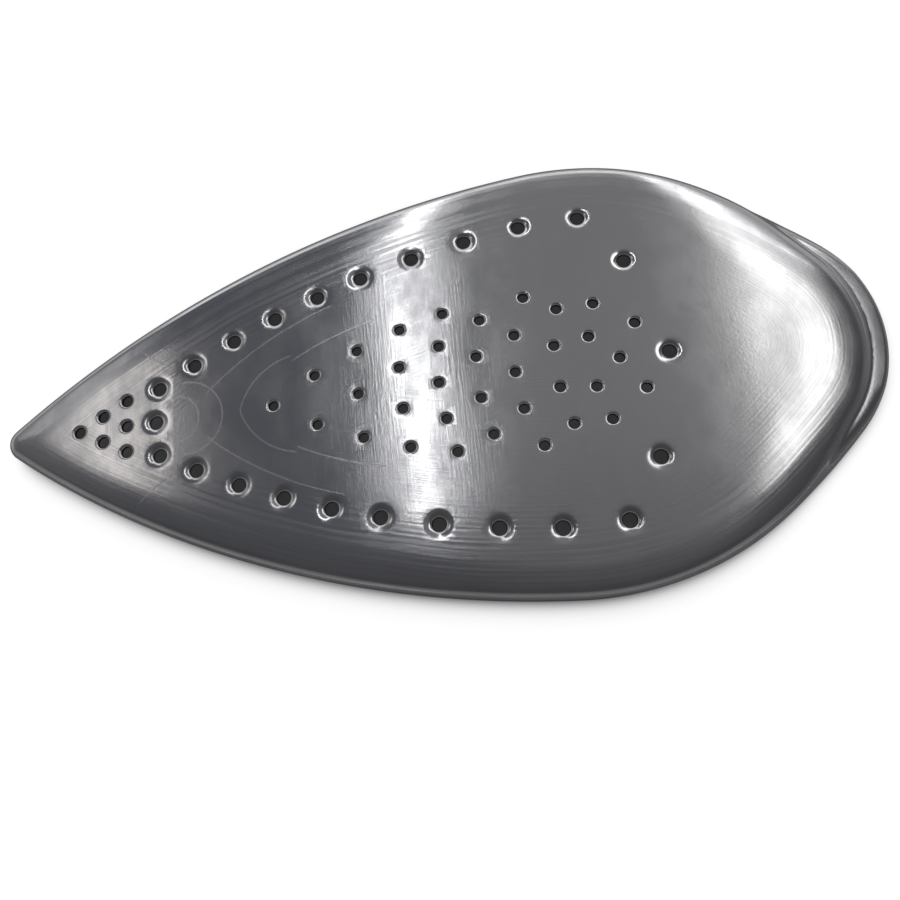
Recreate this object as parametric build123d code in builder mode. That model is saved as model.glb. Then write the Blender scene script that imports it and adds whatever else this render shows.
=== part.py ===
from math import cos, radians, sin, sqrt
import os

from build123d import *

# Outline from above: tangent arcs from the nose tip round one side, closed by the heel arc
nose_radius = 5.0
nose_turn = 53.0
flank_radius = 282.0
flank_turn = 33.0
shoulder_radius = 83.0
shoulder_turn = 37.5
quarter_radius = 158.0
quarter_turn = 11.5

# Pressed sheet: thickness, overall height and the roll between face and skirt
sheet = 1.2
plate_height = 8.0
edge_roll = 3.0

# Heel: the face bows down, rolls over and runs out through a hollow fillet into a ledge
ledge_width = 4.6
step_radius = 36.0
step_turn = 38.0
crown_radius = 95.0
crown_turn = 9.0
roll_radius = 6.0
roll_turn = 24.0
hollow_radius = 2.0

# Large holes flare from the underside up to a wide mouth in the face; small ones are plain bores
mouth_bore = 6.3
steam_bore = 3.5
nose_bore = 3.1
field_bore = 2.6

# Rows of large holes, a fixed distance inside the outline; stations count from the nose tip
front_inset = 18.8
rear_inset = 17.4
row_stations = (45.2, 55.4, 67.0, 79.0, 91.5, 104.1, 118.9, 134.0, 149.6, 166.1)
front_station = 44.2
rear_station = 183.6
rear_pair_station = 176.4
rear_pair_spacing = 55.0

# Triangle of small holes in the nose
nose_station = 22.4
nose_rows = 3
nose_row_pitch = 6.8
nose_hole_pitch = 7.3

# Field of small holes: columns bowed towards the nose, as (station, half spacings)
column_bow = 55.0
field_columns = (
    (77.5, (0,)),
    (88.9, (7.0,)),
    (101.0, (0,)),
    (100.1, (12.3,)),
    (112.3, (5.8,)),
    (111.1, (16.6,)),
    (122.9, (0, 10.2)),
    (122.2, (19.5,)),
    (133.2, (5.8, 16.1)),
    (143.3, (0, 10.3)),
    (144.0, (20.8,)),
    (154.0, (5.8, 16.1)),
    (163.2, (7.0,)),
    (163.8, (16.2,)),
    (170.7, (0,)),
    (175.4, (9.1,)),
)


def point_on(arc, heading, inset):
    centre_x, centre_y, radius = arc[:3]
    angle = radians(heading)
    return centre_x - (radius - inset) * sin(angle), centre_y + (radius - inset) * cos(angle)


# Walk the arcs once with the nose tip at zero; each one keeps its centre, radius and headings
side_arcs = []
tip_x, tip_y, heading = 0.0, 0.0, 90.0
for radius, turn in (
    (nose_radius, nose_turn),
    (flank_radius, flank_turn),
    (shoulder_radius, shoulder_turn),
    (quarter_radius, quarter_turn),
):
    centre_x = tip_x + radius * sin(radians(heading))
    centre_y = tip_y - radius * cos(radians(heading))
    side_arcs.append((centre_x, centre_y, radius, heading, heading - turn))
    heading -= turn
    tip_x, tip_y = point_on(side_arcs[-1], heading, 0)

# The heel arc ends square to the centre line, so its centre lies on that line
heel_radius = tip_y / cos(radians(heading))
heel_centre = tip_x + heel_radius * sin(radians(heading))
side_arcs.append((heel_centre, 0.0, heel_radius, heading, -90.0))
plate_length = heel_centre + heel_radius
nose_x = -plate_length / 2

# Section across the heel step
step_slope = crown_turn + roll_turn
crown_drop = crown_radius * (1 - cos(radians(crown_turn)))
roll_drop = roll_radius * (cos(radians(crown_turn)) - cos(radians(step_slope)))
hollow_drop = hollow_radius * (1 - cos(radians(step_slope)))
ledge_height = plate_height - crown_drop - roll_drop - hollow_drop
crown_run = crown_radius * sin(radians(crown_turn))
roll_run = roll_radius * (sin(radians(step_slope)) - sin(radians(crown_turn)))
hollow_run = hollow_radius * sin(radians(step_slope))
crown_start = step_radius - crown_run - roll_run - hollow_run
step_centre = plate_length / 2 - ledge_width - step_radius


# Plan of the plate, drawn a given distance inside its outer edge
def plate_plan(inset):
    with BuildSketch() as plan:
        with BuildLine():
            start = (nose_x + inset, 0)
            direction = (0, 1)
            for _, _, radius, begin, end in side_arcs:
                arc = JernArc(start, direction, radius - inset, end - begin)
                start = arc @ 1
                direction = arc % 1
            mirror(about=Plane.XZ)
        make_face()
    return plan.sketch


# Space above the sheet at the heel, in a plane through the centre of the step
def heel_section(plane, inset):
    with BuildSketch(plane) as section:
        with BuildLine():
            flat = Line((0, plate_height - inset), (crown_start, plate_height - inset))
            crown = JernArc(flat @ 1, (1, 0), crown_radius - inset, -crown_turn)
            roll = JernArc(crown @ 1, crown % 1, roll_radius - inset, -roll_turn)
            hollow = JernArc(roll @ 1, roll % 1, hollow_radius + inset, step_slope)
            ledge = Line(hollow @ 1, (hollow @ 1) + Vector(heel_radius, 0))
            top = 2 * plate_height
            Polyline(ledge @ 1, ((ledge @ 1).X, top), (0, top), flat @ 0)
        make_face()
    return section.sketch


# Everything above the sheet: round the heel, along the two straight runs and over the front
def space_above(inset):
    turn = radians(step_turn)
    across = Vector(cos(turn), sin(turn), 0)
    along = Vector(-sin(turn), cos(turn), 0)
    centre = Vector(step_centre, 0, 0)
    far = centre + along * plate_length
    centre_plane = Plane(origin=centre, x_dir=(1, 0, 0), z_dir=(0, -1, 0))
    side_plane = Plane(origin=centre, x_dir=across, z_dir=along * -1)
    with BuildPart() as space:
        revolve(heel_section(centre_plane, inset), axis=Axis(centre, (0, 0, 1)), revolution_arc=step_turn)
        extrude(heel_section(side_plane, inset), amount=-plate_length)
        with BuildSketch(Plane.XY.offset(plate_height - inset)):
            with BuildLine():
                front = (-plate_length, far.Y), (-plate_length, 0)
                Polyline((step_centre, 0), (far.X, far.Y), *front, close=True)
            make_face()
        extrude(amount=plate_height + inset)
        mirror(about=Plane.XZ)
    return space.part


# Solid under the sheet's surface, a given distance inside the plate's outer form, edges still sharp
def plate_form(inset):
    with BuildPart() as form:
        add(plate_plan(inset))
        extrude(amount=plate_height)
        add(space_above(inset), mode=Mode.SUBTRACT)
    return form.part


# Edges where the upright walls of such a solid meet its top
def top_rim(form):
    upright = form.faces().filter_by(Axis.Z, reverse=True).filter_by(lambda face: face.bounding_box().min.Z < sheet)
    return upright.edges().filter_by(lambda edge: edge.bounding_box().min.Z > sheet)


# Half width of a curve that lies a given distance inside the outline, at a station from the nose tip
def half_width(station, inset):
    for centre_x, centre_y, radius, begin, end in side_arcs:
        last_x = centre_x - (radius - inset) * sin(radians(end))
        if radius > inset and station <= last_x:
            return centre_y + sqrt((radius - inset) ** 2 - (station - centre_x) ** 2)
    return 0.0


# Large holes: two rows along the flanks, a rear pair and one at each end of the centre line
steam_holes = [(nose_x + front_station, 0), (nose_x + rear_station, 0)]
for side in (1, -1):
    steam_holes.append((nose_x + rear_pair_station, side * rear_pair_spacing / 2))
    for index, station in enumerate(row_stations):
        share = index / (len(row_stations) - 1)
        inset = front_inset + (rear_inset - front_inset) * share
        steam_holes.append((nose_x + station, side * half_width(station, inset)))

# Small holes in the nose
nose_holes = []
for row in range(nose_rows):
    for place in range(row + 1):
        nose_holes.append((nose_x + nose_station + row * nose_row_pitch, (place - row / 2) * nose_hole_pitch))

# Small holes of the field
field_holes = []
for station, spacings in field_columns:
    for spacing in spacings:
        x = nose_x + station + column_bow - sqrt(column_bow**2 - spacing**2)
        field_holes += [(x, spacing), (x, -spacing)] if spacing else [(x, 0)]

# Hollow underside: the wall stays about one sheet thick under the roll
inner_bevel = (edge_roll - sheet) * (2 - sqrt(2))
with BuildPart() as underside:
    add(plate_form(sheet))
    chamfer(top_rim(underside), inner_bevel)

with BuildPart() as soleplate:
    add(plate_form(0))
    fillet(top_rim(soleplate), edge_roll)
    add(underside.part, mode=Mode.SUBTRACT)
    with Locations(*[(x, y, plate_height) for x, y in steam_holes]):
        Cone(
            bottom_radius=steam_bore / 2,
            top_radius=mouth_bore / 2,
            height=sheet,
            align=(Align.CENTER, Align.CENTER, Align.MAX),
            mode=Mode.SUBTRACT,
        )
    with Locations(*nose_holes):
        Hole(radius=nose_bore / 2)
    with Locations(*field_holes):
        Hole(radius=field_bore / 2)

os.makedirs("parts", exist_ok=True)
soleplate.part.label = "soleplate"
export_step(soleplate.part, "parts/soleplate.step")
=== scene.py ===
import math
import bmesh
import bpy
from mathutils import Matrix, Vector


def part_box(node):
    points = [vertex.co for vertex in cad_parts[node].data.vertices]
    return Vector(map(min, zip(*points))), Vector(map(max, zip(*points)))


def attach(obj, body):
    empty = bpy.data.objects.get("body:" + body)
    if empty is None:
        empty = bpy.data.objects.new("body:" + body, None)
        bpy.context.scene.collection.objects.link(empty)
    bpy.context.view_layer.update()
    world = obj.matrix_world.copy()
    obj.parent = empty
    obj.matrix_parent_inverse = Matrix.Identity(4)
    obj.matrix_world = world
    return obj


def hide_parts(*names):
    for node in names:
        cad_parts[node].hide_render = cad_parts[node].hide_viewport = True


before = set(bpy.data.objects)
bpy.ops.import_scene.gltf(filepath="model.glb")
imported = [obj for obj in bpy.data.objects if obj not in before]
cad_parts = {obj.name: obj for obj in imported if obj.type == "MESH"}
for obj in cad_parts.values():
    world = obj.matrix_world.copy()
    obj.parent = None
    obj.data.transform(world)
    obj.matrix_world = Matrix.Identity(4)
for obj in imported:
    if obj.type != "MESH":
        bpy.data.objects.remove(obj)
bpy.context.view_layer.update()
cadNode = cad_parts["soleplate"]
mm = 0.001

# the plate, in millimetres until it is scaled at the end; arcs as radius, turn in degrees and steps
plate = {
    "arcs": ((5.0, 53.0, 16), (282.0, 33.0, 90), (83.0, 37.5, 44), (158.0, 11.5, 44)),
    "heelSteps": 44,
    "edgeRoll": 3.0,
    "rollSteps": 10,
    "bandInset": 4.5,
    "bandSteps": 4,
    # heel step: ledge, crown, roll and hollow, as in the part's source
    "ledgeWidth": 4.6,
    "stepRadius": 36.0,
    "stepTurn": 38.0,
    "crown": (95.0, 9.0),
    "roll": (6.0, 24.0),
    "hollow": 2.0,
    # the polished border slopes down: its width, how far it takes to start, its slope and the last bend
    "borderWidth": 9.5,
    "borderStart": 2.5,
    "borderSlope": 0.06,
    "bendWidth": 6.5,
    "bendDrop": 0.3,
    # the ledge: its full drop, its share of the border's slope, its tighter edge and the Y where it ends
    "ledgeDrop": 2.2,
    "ledgeShare": 0.85,
    "ledgeEdge": 1.2,
    "ledgeEnds": (16.0, 32.0),
    # grid of the face: where each zone starts along the length, and its step
    "gridZones": ((-122.5, 1.75), (63.0, 1.25), (85.5, 0.5)),
    "holeSides": 40,
    "largeHoleFrom": 2.2,
    # rings of a large hole, as distance outside the bore and depth under the face
    "dimpleRings": (
        (2.3, 0.0), (2.05, 0.012), (1.8, 0.032), (1.55, 0.062), (1.32, 0.1), (1.1, 0.148), (0.9, 0.203),
        (0.72, 0.263), (0.56, 0.33), (0.42, 0.405), (0.3, 0.49), (0.2, 0.59), (0.11, 0.73), (0.04, 0.92),
    ),
    # rings of a small hole, the same way
    "lipRings": (
        (0.8, 0.0), (0.6, 0.012), (0.42, 0.045), (0.27, 0.11), (0.14, 0.22), (0.04, 0.4), (0.0, 0.6),
    ),
    # room left between a mouth and the grid, how far a cell can reach, and the inner wall's least inset
    "mouthRoom": 0.15,
    "cellReach": 8,
    "innerWallFrom": 0.6,
    # the walls are dull, with a painted shade that darkens them, from these depths on
    "dullAndShadedDepths": (0.42, 0.9),
    "sharpAngle": 40,
    "slack": 0.01,
}
slack = plate["slack"]
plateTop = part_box("soleplate")[1].z / mm


def makeArc(centre, radius, begin, end, steps):
    return {"centre": centre, "radius": radius, "begin": begin, "end": end, "steps": steps}


def outlineArcs():
    # tangent arcs from the nose tip to the heel, whose arc is centred on the middle line
    arcs, tip, heading = [], Vector((0, 0)), 90.0
    for radius, turn, steps in plate["arcs"]:
        angle, end = math.radians(heading), math.radians(heading - turn)
        centre = tip + Vector((math.sin(angle), -math.cos(angle))) * radius
        arcs.append(makeArc(centre, radius, heading, heading - turn, steps))
        tip = centre + Vector((-math.sin(end), math.cos(end))) * radius
        heading -= turn
    radius = tip.y / math.cos(end)
    centre = Vector((tip.x + radius * math.sin(end), 0))
    arcs.append(makeArc(centre, radius, heading, -90.0, plate["heelSteps"]))
    middle = (centre.x + radius) / 2
    for arc in arcs:
        arc["centre"].x -= middle
    return arcs, middle


arcs, heelTip = outlineArcs()


def insetAt(x, y):
    # distance inside the outline, starting from more than any point has
    best = 100.0
    for arc in arcs:
        across, up = x - arc["centre"].x, abs(y) - arc["centre"].y
        if arc["end"] - 1 <= math.degrees(math.atan2(-across, up)) <= arc["begin"] + 1:
            best = min(best, arc["radius"] - math.hypot(across, up))
    return max(best, 0.0)


def arcDrop(radius, run):
    return radius - math.sqrt(radius**2 - run**2)


def edgeDrop(radius, inset):
    return arcDrop(radius, max(radius - inset, 0.0))


def stepDrop(x, y):
    # how far the face has come down at the heel step: crown, roll, hollow and ledge
    crownRadius, crownTurn = plate["crown"]
    rollRadius, rollTurn = plate["roll"]
    hollow = plate["hollow"]
    crownEnd, slope = math.radians(crownTurn), math.radians(crownTurn + rollTurn)
    crownRun = crownRadius * math.sin(crownEnd)
    rollStart, rollEnd = rollRadius * math.sin(crownEnd), rollRadius * math.sin(slope)
    hollowRun = hollow * math.sin(slope)
    across = x - (heelTip - plate["ledgeWidth"] - plate["stepRadius"])
    turn = math.radians(plate["stepTurn"])
    if math.atan2(abs(y), across) < turn:
        out = math.hypot(across, y)
    else:
        out = across * math.cos(turn) + abs(y) * math.sin(turn)
    crownOut = out - plate["stepRadius"] + crownRun + rollEnd - rollStart + hollowRun
    rollOut = crownOut - crownRun
    hollowLeft = min(max(plate["stepRadius"] - out, 0.0), hollowRun)
    drop = arcDrop(crownRadius, min(max(crownOut, 0.0), crownRun))
    drop += arcDrop(rollRadius, min(max(rollOut, 0.0) + rollStart, rollEnd)) - arcDrop(rollRadius, rollStart)
    return drop + arcDrop(hollow, hollowRun) - arcDrop(hollow, hollowLeft)


def borderDrop(inset):
    start = plate["borderStart"]
    within = max(plate["borderWidth"] - inset, 0.0)
    slope = min(within, start) ** 2 / (2 * start) + max(within - start, 0.0)
    return plate["borderSlope"] * slope + plate["bendDrop"] * max(0.0, 1 - inset / plate["bendWidth"]) ** 2


def kind(geom, wanted):
    return [g for g in geom if isinstance(g, wanted)]


def openEdges(bm, height):
    # edges with one face that lie at a height
    alone = [e for e in bm.edges if len(e.link_faces) == 1]
    return [e for e in alone if all(abs(v.co.z - height) < slack for v in e.verts)]


def edgeGroups(edges):
    # edges that hang together, as lists
    left, groups = set(edges), []
    while left:
        front = {left.pop()}
        group = set(front)
        while front:
            front = {e for edge in front for v in edge.verts for e in v.link_edges} & left
            left -= front
            group |= front
        groups.append(group)
    return groups


def findHoles(bm):
    # the mouths are the closed rims of the flat face, apart from its outer one
    rim = []
    for edge in bm.edges:
        if len(edge.link_faces) == 2 and all(abs(v.co.z - plateTop) < slack for v in edge.verts):
            lows = sorted(face.normal.z for face in edge.link_faces)
            if lows[0] < 0.9 and lows[1] > 0.999:
                rim.append(edge)
    holes = []
    for group in edgeGroups(rim):
        verts = {v for edge in group for v in edge.verts}
        centre = sum((v.co for v in verts), Vector()) / len(verts)
        radius = (next(iter(verts)).co - centre).length
        if radius < 10:
            rings = plate["dimpleRings"] if radius > plate["largeHoleFrom"] else plate["lipRings"]
            holes.append({"centre": centre, "rings": rings})
    return holes


def keepUnderside(bm):
    # of the solid, only the hollow's roof and inner wall stay
    outside, wallFrom = [], plate["innerWallFrom"]
    for face in bm.faces:
        middle = face.calc_center_median()
        roof = face.normal.z < -0.1 and middle.z > slack
        low = min(v.co.z for v in face.verts) < slack
        wall = abs(face.normal.z) < 0.1 and low and insetAt(middle.x, middle.y) > wallFrom
        if not roof and not wall:
            outside.append(face)
    bmesh.ops.delete(bm, geom=outside, context="FACES")


def findBores(bm, holes):
    # the bores' lower rims, open edges in the roof
    alone = [e for e in bm.edges if len(e.link_faces) == 1]
    for rim in edgeGroups([e for e in alone if min(v.co.z for v in e.verts) > slack]):
        verts = {v for edge in rim for v in edge.verts}
        centre = sum((v.co for v in verts), Vector()) / len(verts)
        hole = nearestHole(holes, centre)
        hole["rim"] = list(rim)
        hole["bore"] = (next(iter(verts)).co - centre).length


def sweepEdge(bm):
    # skirt, roll and a band of the face, swept round the outline by its arcs and mirrored
    roll, steps = plate["edgeRoll"], plate["rollSteps"]
    section = [(0.0, 0.0)]
    for index in range(steps + 1):
        angle = math.radians(90 * index / steps)
        section.append((roll * (1 - math.cos(angle)), plateTop - roll * (1 - math.sin(angle))))
    for index in range(plate["bandSteps"]):
        section.append((roll + (plate["bandInset"] - roll) * (index + 1) / plate["bandSteps"], plateTop))
    verts = [bm.verts.new((inset - heelTip, 0, height)) for inset, height in section]
    profile = verts + [bm.edges.new(pair) for pair in zip(verts, verts[1:])]
    old = set(bm.faces)
    for arc in arcs:
        angle = math.radians(arc["end"] - arc["begin"])
        centre = (*arc["centre"], 0)
        made = bmesh.ops.spin(bm, geom=profile, cent=centre, axis=(0, 0, 1), angle=angle, steps=arc["steps"])
        profile = made["geom_last"]
    half = [f for f in bm.faces if f not in old]
    geom = set(half) | {e for f in half for e in f.edges} | {v for f in half for v in f.verts}
    bmesh.ops.mirror(bm, geom=list(geom), axis="Y", merge_dist=slack / 10)
    swept = [f for f in bm.faces if f not in old]
    bmesh.ops.remove_doubles(bm, verts=list({v for f in swept for v in f.verts}), dist=slack / 10)


def cutAcross(bm, faces, axis, places):
    # cuts faces along parallel planes, each time what lies beyond the last one
    normal = Vector((axis == 0, axis == 1, 0))
    done, rest = set(), set(faces)
    for place in places:
        geom = rest | {e for f in rest for e in f.edges} | {v for f in rest for v in f.verts}
        if not geom:
            break
        at = normal * place
        made = bmesh.ops.bisect_plane(bm, geom=list(geom), dist=slack / 10, plane_co=at, plane_no=normal)
        parts = set(kind(made["geom"], bmesh.types.BMFace))
        rest = {f for f in parts if f.calc_center_median()[axis] > place}
        done |= parts - rest
    return done | rest


def spread(start, end, step):
    return [start + step * index for index in range(1, math.ceil((end - start) / step))]


def fillFace(bm):
    # the flat face inside the band, as a grid that is finer at the heel
    made = bmesh.ops.contextual_create(bm, geom=openEdges(bm, plateTop))
    zones = plate["gridZones"]
    ends = [start for start, step in zones[1:]] + [heelTip]
    cuts = []
    for (start, step), end in zip(zones, ends):
        cuts += ([start] if cuts else []) + spread(start, end, step)
    strips = cutAcross(bm, made["faces"], 0, cuts)
    for (start, step), end in zip(zones, ends):
        zone = {f for f in strips if start < f.calc_center_median().x < end}
        half = math.ceil(heelTip / step) * step
        cutAcross(bm, zone, 1, spread(-half, half, step))


def boxDistance(face, centre):
    # plan distance from a point to the box round a face
    xs, ys = [v.co.x for v in face.verts], [v.co.y for v in face.verts]
    across = max(min(xs) - centre.x, centre.x - max(xs), 0)
    along = max(min(ys) - centre.y, centre.y - max(ys), 0)
    return math.hypot(across, along)


def openHoles(bm, holes):
    flat = [f for f in bm.faces if abs(f.normal.z) > 0.99]
    flat = [f for f in flat if all(abs(v.co.z - plateTop) < slack for v in f.verts)]
    print("plate:", len(flat), "cells in the face")
    mouths, taken = [], set()
    for hole in holes:
        radius = hole["bore"] + hole["rings"][0][0]
        reach = radius + plate["cellReach"]
        near = [f for f in flat if (f.verts[0].co.xy - hole["centre"].xy).length < reach]
        taken |= {f for f in near if boxDistance(f, hole["centre"]) < radius + plate["mouthRoom"]}
        centre = Matrix.Translation(hole["centre"])
        made = bmesh.ops.create_circle(bm, segments=plate["holeSides"], radius=radius, matrix=centre)
        hole["ring"] = list({e for v in made["verts"] for e in v.link_edges})
        mouths += hole["ring"]
    while taken:
        bmesh.ops.delete(bm, geom=list(taken), context="FACES")
        rim = openEdges(bm, plateTop)
        ends = [v for e in rim for v in e.verts]
        pinched = {v for v in ends if sum(len(e.link_faces) == 1 for e in v.link_edges) > 2}
        taken = {f for v in pinched for f in v.link_faces}
    bmesh.ops.triangle_fill(bm, use_beauty=True, edges=rim + mouths, normal=(0, 0, 1))


def nearestHole(holes, point):
    return min(holes, key=lambda hole: (hole["centre"].xy - point.xy).length)


def shapeHoles(bm, holes):
    # rings run down from the face to the bores' lower rims, one level of all holes at a time
    walls = bm.verts.layers.float.new("holeWall")
    start, end = plate["dullAndShadedDepths"]
    edges = [e for hole in holes for e in hole["ring"]]
    for level in range(1, max(len(hole["rings"]) for hole in holes)):
        made = bmesh.ops.extrude_edge_only(bm, edges=edges)["geom"]
        verts = set(kind(made, bmesh.types.BMVert))
        edges = []
        for ring in edgeGroups([e for e in kind(made, bmesh.types.BMEdge) if verts.issuperset(e.verts)]):
            hole = nearestHole(holes, next(iter(ring)).verts[0].co)
            out, depth = hole["rings"][level]
            for v in {v for e in ring for v in e.verts}:
                arm = (v.co.xy - hole["centre"].xy).normalized() * (hole["bore"] + out)
                v.co = (*(hole["centre"].xy + arm), plateTop - depth)
                # how far down the wall: drives the walls' duller finish and their painted shade
                v[walls] = min(max((depth - start) / (end - start), 0.0), 1.0)
            hole["ring"] = list(ring)
            if level + 1 < len(hole["rings"]):
                edges += hole["ring"]
    for hole in holes:
        for v in {v for e in hole["rim"] for v in e.verts}:
            v[walls] = 1.0
        bmesh.ops.bridge_loops(bm, edges=hole["ring"] + hole["rim"])


def makePlate():
    print("plate: copying the hollow underside")
    bm = bmesh.new()
    bm.from_mesh(cadNode.data)
    bmesh.ops.scale(bm, vec=(1 / mm,) * 3, verts=bm.verts)
    bmesh.ops.remove_doubles(bm, verts=bm.verts, dist=slack / 10)
    bm.normal_update()
    holes = findHoles(bm)
    keepUnderside(bm)
    findBores(bm, holes)
    hidden = set(bm.verts)
    print("plate: sweeping the edge and filling the face")
    sweepEdge(bm)
    fillFace(bm)
    bm.normal_update()
    print("plate: opening", len(holes), "holes")
    openHoles(bm, holes)
    shapeHoles(bm, holes)
    bmesh.ops.triangle_fill(bm, use_beauty=True, edges=openEdges(bm, 0), normal=(0, 0, -1))
    print("plate: sloping the face down to its edge and heel")
    insets = bm.verts.layers.float.new("edgeInset")
    ledgeFade, ledgeEnd = plate["ledgeEnds"]
    for v in bm.verts:
        v[insets] = insetAt(v.co.x, v.co.y)
        if v not in hidden and v.co.z > slack:
            drop = stepDrop(v.co.x, v.co.y)
            ledge = min(drop / plate["ledgeDrop"], 1.0) ** 2
            ledge *= min(max((ledgeEnd - abs(v.co.y)) / (ledgeEnd - ledgeFade), 0.0), 1.0)
            tighter = edgeDrop(plate["edgeRoll"], v[insets]) - edgeDrop(plate["ledgeEdge"], v[insets])
            v.co.z -= drop + (1 - (1 - plate["ledgeShare"]) * ledge) * borderDrop(v[insets])
            v.co.z += ledge * tighter
    bmesh.ops.recalc_face_normals(bm, faces=bm.faces)
    print("plate: open edges left", sum(len(e.link_faces) != 2 for e in bm.edges))
    for edge in bm.edges:
        edge.smooth = edge.calc_face_angle(0) < math.radians(plate["sharpAngle"])
    for face in bm.faces:
        face.smooth = True
    bmesh.ops.scale(bm, vec=(mm,) * 3, verts=bm.verts)
    mesh = bpy.data.meshes.new("polished_plate")
    bm.to_mesh(mesh)
    bm.free()
    piece = bpy.data.objects.new("polished_plate", mesh)
    bpy.context.scene.collection.objects.link(piece)
    mesh.calc_loop_triangles()
    print("plate:", len(mesh.loop_triangles), "triangles")
    return piece


# the steel: polished, with grooves along the outline, hair lines, dull patches and thin engraved arcs
steelLook = {
    "colour": (0.58, 0.58, 0.59, 1),
    "colourDull": (0.46, 0.46, 0.475, 1),
    "colourRange": (0.25, 0.8),
    "roughness": 0.13,
    "roughnessSpread": 0.1,
    "roughnessRange": (0.3, 0.75),
    "engravedRoughness": 0.09,
    "wallRoughness": 0.3,
    # painted shade deep in the holes, on top of the duller cut wall
    "wallShadeColour": (0.25, 0.25, 0.27, 1),
    "reliefDepth": 0.001,
    # grooves along the outline: pitch or scale, then height, and for some the height at the heel
    "coarseGrooves": (1.35, 0.0028, 0.0012),
    "fineGrooves": (0.9, 0.0008),
    "unevenGrooves": (0.9, 0.006, 0.0014),
    "heelStart": (20.0, 60.0),
    # how the grooves waver: scale and reach
    "waver": (0.02, 2.5),
    # where they run, as distance from the edge, and how much is left towards the nose
    "groovesFrom": (2.0, 6.0),
    "groovesTo": (16.0, 34.0),
    "groovesNose": (-95.0, -60.0, 0.45),
    # worn and sharp stretches, and the rubbed spot at the heel: centre, size and strength
    "wornScale": (0.02, 0.035, 0.02),
    "wornRange": (0.35, 0.65, 0.35, 1.0),
    "rubbedSpot": ((84.0, -30.0), (30.0, 24.0)),
    "rubbedShare": 0.7,
    # full strength on the side towards the viewer, less on the other one
    "nearSide": (6.0, -6.0, 0.65, 1.0),
    # hair lines across the middle field: scale, height and where they fade in and out
    "hairScale": (1.6, 0.11, 1.0),
    "hairHeight": 0.012,
    "hairInset": (10.0, 30.0),
    "hairFrom": (-60.0, -35.0),
    "hairTo": (30.0, 75.0, 1.0, 0.15),
    "grain": (1.3, 0.006),
    # dull patches, fine brushing and bands along the flanks: scale and strength
    "mottleScale": (0.09, 0.05, 0.09),
    "brushing": (4.0, 0.5),
    "bands": (0.55, 2.2),
    "bandsInset": (12.0, 24.0),
    "bandsFrom": (-85.0, -60.0),
    "bandsTo": (50.0, 80.0, 1.0, 0.2),
    # engraved arcs mirrored about the middle line, in millimetres: centre, radius and the range of X kept
    "engraved": (
        ((-69.5, 0.0), 6.5, (-70.0, -60.0)),
        ((-66.5, 0.0), 10.2, (-68.0, -50.0)),
        ((4.0, -66.0), 97.0, (-61.0, -24.0)),
        ((-33.0, -5.0), 19.0, (-60.0, -36.0)),
        ((2.0, -57.0), 79.0, (-36.5, -12.0)),
        ((-41.2, 67.7), 60.0, (-80.5, -69.5)),
    ),
    "engravedWidth": 0.35,
    "engravedCore": 0.3,
}


def addNode(tree, kind, inputs=None, **settings):
    made = tree.nodes.new(kind)
    for name, value in settings.items():
        setattr(made, name, value)
    for socket, value in (inputs or {}).items():
        if isinstance(value, bpy.types.NodeSocket):
            tree.links.new(value, made.inputs[socket])
        else:
            made.inputs[socket].default_value = value
    return made


def calc(tree, operation, *values):
    return addNode(tree, "ShaderNodeMath", dict(enumerate(values)), operation=operation).outputs[0]


def product(tree, first, *others):
    for other in others:
        first = calc(tree, "MULTIPLY", first, other)
    return first


def ramp(tree, value, low, high, toLow=0.0, toHigh=1.0):
    inputs = {"Value": value, "From Min": low, "From Max": high, "To Min": toLow, "To Max": toHigh}
    made = addNode(tree, "ShaderNodeMapRange", inputs, interpolation_type="SMOOTHSTEP")
    return made.outputs["Result"]


def blend(tree, factor, first, second):
    inputs = {"Factor": factor, "A": first, "B": second}
    return addNode(tree, "ShaderNodeMix", inputs, data_type="RGBA").outputs["Result"]


def stretched(tree, point, scale):
    return addNode(tree, "ShaderNodeMapping", {"Vector": point, "Scale": scale}).outputs[0]


def noise(tree, vector, scale, detail=2.0):
    inputs = {"Vector": vector, "Scale": scale, "Detail": detail, "Roughness": 0.6}
    return addNode(tree, "ShaderNodeTexNoise", inputs).outputs["Fac"]


def noiseAlong(tree, value, scale, detail=1.0):
    inputs = {"W": product(tree, value, scale), "Scale": 1.0, "Detail": detail, "Roughness": 0.6}
    return addNode(tree, "ShaderNodeTexNoise", inputs, noise_dimensions="1D").outputs["Fac"]


def waves(tree, value, pitch):
    return calc(tree, "SINE", product(tree, value, 2 * math.pi / pitch))


def distance(tree, x, y, centre, size=(1.0, 1.0)):
    # from a centre, as a share of the size
    across = calc(tree, "DIVIDE", calc(tree, "SUBTRACT", x, centre[0]), size[0])
    along = calc(tree, "DIVIDE", calc(tree, "SUBTRACT", y, centre[1]), size[1])
    squares = calc(tree, "ADD", product(tree, across, across), product(tree, along, along))
    return calc(tree, "SQRT", squares)


def engravedMask(tree, x, side):
    mask, width = None, steelLook["engravedWidth"]
    for centre, radius, (start, end) in steelLook["engraved"]:
        away = calc(tree, "ABSOLUTE", calc(tree, "SUBTRACT", distance(tree, x, side, centre), radius))
        line = ramp(tree, away, steelLook["engravedCore"] * width, width, 1.0, 0.0)
        line = product(tree, line, ramp(tree, x, start, start + 1), ramp(tree, x, end - 1, end, 1.0, 0.0))
        mask = line if mask is None else calc(tree, "MAXIMUM", mask, line)
    return mask


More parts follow.
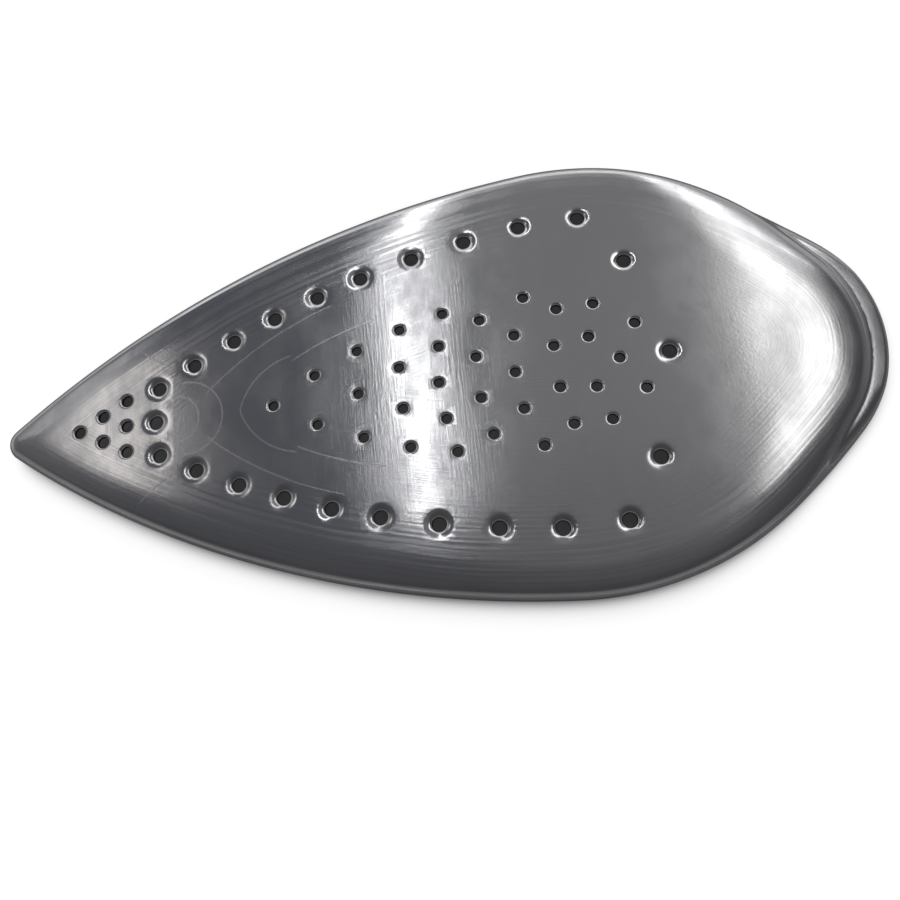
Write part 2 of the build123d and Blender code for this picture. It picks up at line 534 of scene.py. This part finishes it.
def contourGrooves(tree, point, x, y, inset, contour, nearSide):
    # they follow the outline and fade out towards the middle, coarser on the near side
    pitch, height, atHeel = steelLook["coarseGrooves"]
    heights = ramp(tree, x, *steelLook["heelStart"], height, atHeel)
    coarse = product(tree, waves(tree, contour, pitch), heights, nearSide)
    pitch, height = steelLook["fineGrooves"]
    fine = product(tree, waves(tree, contour, pitch), height)
    scale, height, atHeel = steelLook["unevenGrooves"]
    heights = ramp(tree, x, *steelLook["heelStart"], height, atHeel)
    uneven = product(tree, noiseAlong(tree, contour, scale), heights)
    grooves = calc(tree, "ADD", coarse, calc(tree, "ADD", fine, uneven))
    worn = noise(tree, stretched(tree, point, steelLook["wornScale"]), 1.0)
    worn = ramp(tree, worn, *steelLook["wornRange"])
    rubbed = ramp(tree, distance(tree, x, y, *steelLook["rubbedSpot"]), 0.5, 1.0, 1.0, 0.0)
    shown = calc(tree, "ADD", worn, product(tree, rubbed, steelLook["rubbedShare"]))
    start = ramp(tree, inset, *steelLook["groovesFrom"])
    end = ramp(tree, inset, *steelLook["groovesTo"], 1.0, 0.0)
    return product(tree, grooves, start, end, shown, ramp(tree, x, *steelLook["groovesNose"]))


def hairLines(tree, point, x, inset):
    hairs = noise(tree, stretched(tree, point, steelLook["hairScale"]), 1.0, 4.0)
    field = product(tree, ramp(tree, inset, *steelLook["hairInset"]), ramp(tree, x, *steelLook["hairFrom"]))
    return product(tree, hairs, field, ramp(tree, x, *steelLook["hairTo"]), steelLook["hairHeight"])


def dullness(tree, point, x, inset, contour, nearSide):
    # dull and bright patches, fine brushing and wider bands along the flanks
    dull = noise(tree, stretched(tree, point, steelLook["mottleScale"]), 1.0, 4.0)
    scale, strength = steelLook["brushing"]
    brushed = calc(tree, "SUBTRACT", noiseAlong(tree, contour, scale, 2.0), 0.5)
    dull = calc(tree, "MULTIPLY_ADD", brushed, strength, dull)
    scale, strength = steelLook["bands"]
    bands = calc(tree, "SUBTRACT", noiseAlong(tree, contour, scale), 0.5)
    flank = ramp(tree, inset, *steelLook["bandsInset"], 1.0, 0.0)
    flank = product(tree, flank, ramp(tree, x, *steelLook["bandsFrom"]), ramp(tree, x, *steelLook["bandsTo"]))
    return calc(tree, "MULTIPLY_ADD", product(tree, bands, nearSide, flank), strength, dull)


def makeSteel():
    print("steel: building the material")
    steel = bpy.data.materials.new("steel")
    steel.use_nodes = True
    tree = steel.node_tree
    shader = tree.nodes["Principled BSDF"]
    place = addNode(tree, "ShaderNodeTexCoord").outputs["Object"]
    point = addNode(tree, "ShaderNodeVectorMath", {0: place, "Scale": 1 / mm}, operation="SCALE").outputs[0]
    parts = addNode(tree, "ShaderNodeSeparateXYZ", {0: point})
    x, y = parts.outputs["X"], parts.outputs["Y"]
    inset = addNode(tree, "ShaderNodeAttribute", attribute_name="edgeInset").outputs["Fac"]
    wall = addNode(tree, "ShaderNodeAttribute", attribute_name="holeWall").outputs["Fac"]
    scale, reach = steelLook["waver"]
    contour = calc(tree, "ADD", inset, product(tree, noise(tree, point, scale), reach))
    nearSide = ramp(tree, y, *steelLook["nearSide"])

    relief = contourGrooves(tree, point, x, y, inset, contour, nearSide)
    relief = calc(tree, "ADD", relief, hairLines(tree, point, x, inset))
    scale, height = steelLook["grain"]
    relief = calc(tree, "MULTIPLY_ADD", noise(tree, point, scale, 1.0), height, relief)
    bump = {"Height": relief, "Strength": 1.0, "Distance": steelLook["reliefDepth"]}
    bump = addNode(tree, "ShaderNodeBump", bump)

    dull = dullness(tree, point, x, inset, contour, nearSide)
    engraved = engravedMask(tree, x, calc(tree, "ABSOLUTE", y))
    smoothest = steelLook["roughness"]
    roughest = smoothest + steelLook["roughnessSpread"]
    roughness = ramp(tree, dull, *steelLook["roughnessRange"], smoothest, roughest)
    roughness = calc(tree, "MULTIPLY_ADD", engraved, steelLook["engravedRoughness"], roughness)
    roughness = calc(tree, "MULTIPLY_ADD", wall, steelLook["wallRoughness"], roughness)
    colour = ramp(tree, dull, *steelLook["colourRange"])
    colour = blend(tree, colour, steelLook["colour"], steelLook["colourDull"])
    # painted shade: the hole walls darken towards the bore, besides being duller cut steel
    colour = blend(tree, wall, colour, steelLook["wallShadeColour"])
    tree.links.new(colour, shader.inputs["Base Color"])
    tree.links.new(roughness, shader.inputs["Roughness"])
    tree.links.new(bump.outputs["Normal"], shader.inputs["Normal"])
    shader.inputs["Metallic"].default_value = 1
    return steel


polishedPlate = makePlate()
polishedPlate.data.materials.append(makeSteel())
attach(polishedPlate, "root")
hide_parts("soleplate")

# tints of the lamps
whiteLight = (1, 1, 1)
panelLight = (1, 0.99, 0.97)
noseLight = (1, 0.95, 0.9)

# the studio
studio = {
    "floorSize": 6.0,
    "floorColour": (0.5, 0.5, 0.5, 1),
    "floorRoughness": 0.9,
    # how white the camera sees the floor, and where a painted shadow darkens it near the object; a little of
    # the glow stays under the plate as painted light seen through the bores, and reflections of the floor get
    # a painted shade near the object
    "floorLift": 0.87,
    "shadowPaintDistance": 0.06,
    "shadowPaintRange": (0.4, 0.88, 0.03),
    "reflectedShadeRange": (0.15, 0.6),
    # the sky by direction: over the nose, over the heel, past either end, towards the viewer and low down
    "skyNose": (0.105, 0.11, 0.125, 1),
    "skyHeel": (0.25, 0.25, 0.255, 1),
    "skyPastNose": (0.2, 0.2, 0.2, 1),
    "skyNear": (0.085, 0.085, 0.09, 1),
    "skyPastHeel": (0.07, 0.07, 0.075, 1),
    "horizonNear": (0.28, 0.28, 0.285, 1),
    "horizonFar": (0.6, 0.6, 0.605, 1),
    # where each passes into the next, as parts of the direction
    "noseToHeel": (-0.12, 0.06),
    "pastNose": (-0.56, -0.72),
    "pastHeel": (0.56, 0.68),
    "nearSide": (0.33, -0.25),
    "horizonSides": (-0.25, 0.25),
    "horizonTop": (0.6, 0.3),
    "horizonPastHeel": (0.7, 0.9, 1.0, 0.25),
    # soft lamps: place, size across and along, brightness, tint, angle they are tipped by and shape
    "lamps": {
        "strip": ((-0.12, 0.725, 1.0), (0.052, 1.19), 4.8, whiteLight, 0, "RECTANGLE"),
        "heel_panel": ((0.66, 0.4, 1.0), (0.4, 0.84), 1.55, panelLight, 0, "ELLIPSE"),
        "heel_core": ((0.7, 0.4, 1.02), (0.26, 0.72), 0.5, panelLight, 0, "ELLIPSE"),
        "heel_far": ((0.84, 1.08, 1.0), (0.44, 0.5), 2.2, whiteLight, 0, "RECTANGLE"),
        "nose_panel": ((-0.695, 0.38, 1.0), (0.2, 0.3), 1.3, noseLight, 0, "RECTANGLE"),
        "nose_far": ((-0.95, 0.66, 1.0), (0.35, 0.35), 0.5, whiteLight, 0, "RECTANGLE"),
        "far_key": ((-0.1, 1.05, 0.62), (1.5, 0.45), 0.8, whiteLight, 60, "RECTANGLE"),
    },
}


def addLamp(name, place, size, glow, tint, turn, shape):
    lamp = bpy.data.lights.new(name, "AREA")
    lamp.shape = shape
    lamp.size, lamp.size_y = size
    area = lamp.size * lamp.size_y * (math.pi / 4 if shape == "ELLIPSE" else 1)
    lamp.energy = glow * math.pi * area
    lamp.color = tint
    lampObject = bpy.data.objects.new(name, lamp)
    lampObject.location = place
    lampObject.rotation_euler = (-math.radians(turn), 0, 0)
    bpy.context.scene.collection.objects.link(lampObject)


def makeFloor():
    # white for the camera and for reflections away from the object; the object's shadow on it is partly the
    # lamps' own and partly painted into its glow by occlusion, and the reflected floor gets a painted shade
    # by distance from the middle
    mesh = bpy.data.meshes.new("studio_floor")
    bm = bmesh.new()
    bmesh.ops.create_grid(bm, x_segments=1, y_segments=1, size=studio["floorSize"] / 2)
    bm.to_mesh(mesh)
    bm.free()
    floor = bpy.data.objects.new("studio_floor", mesh)
    bpy.context.scene.collection.objects.link(floor)
    material = bpy.data.materials.new("floor_paint")
    material.use_nodes = True
    tree = material.node_tree
    shader = tree.nodes["Principled BSDF"]
    shader.inputs["Base Color"].default_value = studio["floorColour"]
    shader.inputs["Roughness"].default_value = studio["floorRoughness"]
    shader.inputs["Specular IOR Level"].default_value = 0
    light = addNode(tree, "ShaderNodeLightPath")
    # painted shadow: the camera's white glow fades by occlusion near the object, down to a little painted
    # light under the plate
    shadowPaintOcclusion = addNode(tree, "ShaderNodeAmbientOcclusion", {"Distance": studio["shadowPaintDistance"]})
    outsidePaintedShadow = ramp(tree, shadowPaintOcclusion.outputs["AO"], *studio["shadowPaintRange"])
    place = addNode(tree, "ShaderNodeTexCoord").outputs["Object"]
    away = addNode(tree, "ShaderNodeVectorMath", {0: place}, operation="LENGTH").outputs["Value"]
    # painted shade: the floor seen in reflections loses its glow near the object
    outsideReflectedShade = ramp(tree, away, *studio["reflectedShadeRange"])
    seen = product(tree, light.outputs["Is Camera Ray"], outsidePaintedShadow)
    mirrored = product(tree, light.outputs["Is Glossy Ray"], outsideReflectedShade)
    lift = product(tree, calc(tree, "MAXIMUM", seen, mirrored), studio["floorLift"])
    shader.inputs["Emission Color"].default_value = (1, 1, 1, 1)
    tree.links.new(lift, shader.inputs["Emission Strength"])
    mesh.materials.append(material)


def makeSky():
    # grey by direction for reflections, white where the camera sees it
    world = bpy.data.worlds.new("studio")
    bpy.context.scene.world = world
    world.use_nodes = True
    tree = world.node_tree
    direction = addNode(tree, "ShaderNodeTexCoord").outputs["Generated"]
    parts = addNode(tree, "ShaderNodeSeparateXYZ", {0: direction})
    x, y, z = parts.outputs["X"], parts.outputs["Y"], parts.outputs["Z"]
    sky = blend(tree, ramp(tree, x, *studio["noseToHeel"]), studio["skyNose"], studio["skyHeel"])
    sky = blend(tree, ramp(tree, x, *studio["pastNose"]), sky, studio["skyPastNose"])
    sky = blend(tree, ramp(tree, x, *studio["pastHeel"]), sky, studio["skyPastHeel"])
    sky = blend(tree, ramp(tree, y, *studio["nearSide"]), sky, studio["skyNear"])
    behind = ramp(tree, y, *studio["horizonSides"])
    horizon = blend(tree, behind, studio["horizonNear"], studio["horizonFar"])
    low = product(tree, ramp(tree, z, *studio["horizonTop"]), ramp(tree, x, *studio["horizonPastHeel"]))
    sky = blend(tree, low, sky, horizon)
    sky = blend(tree, addNode(tree, "ShaderNodeLightPath").outputs["Is Camera Ray"], sky, (1, 1, 1, 1))
    tree.links.new(sky, tree.nodes["Background"].inputs["Color"])


print("studio: lamps, floor and sky")
for name, values in studio["lamps"].items():
    addLamp(name, *values)
makeFloor()
makeSky()

# the photograph's camera, in metres and degrees
view = {
    "place": (0.01756, -0.06466, 0.18266),
    "turn": (14.107, 5.972, -6.294),
    "lens": 28.0,
    "sensor": 36.0,
    "clipStart": 0.01,
}
camera = bpy.data.cameras.new("camera")
camera.lens = view["lens"]
camera.sensor_width = view["sensor"]
camera.clip_start = view["clipStart"]
cameraObject = bpy.data.objects.new("camera", camera)
cameraObject.location = view["place"]
cameraObject.rotation_euler = [math.radians(angle) for angle in view["turn"]]
bpy.context.scene.collection.objects.link(cameraObject)
bpy.context.scene.camera = cameraObject
bpy.context.scene.view_settings.view_transform = "Standard"
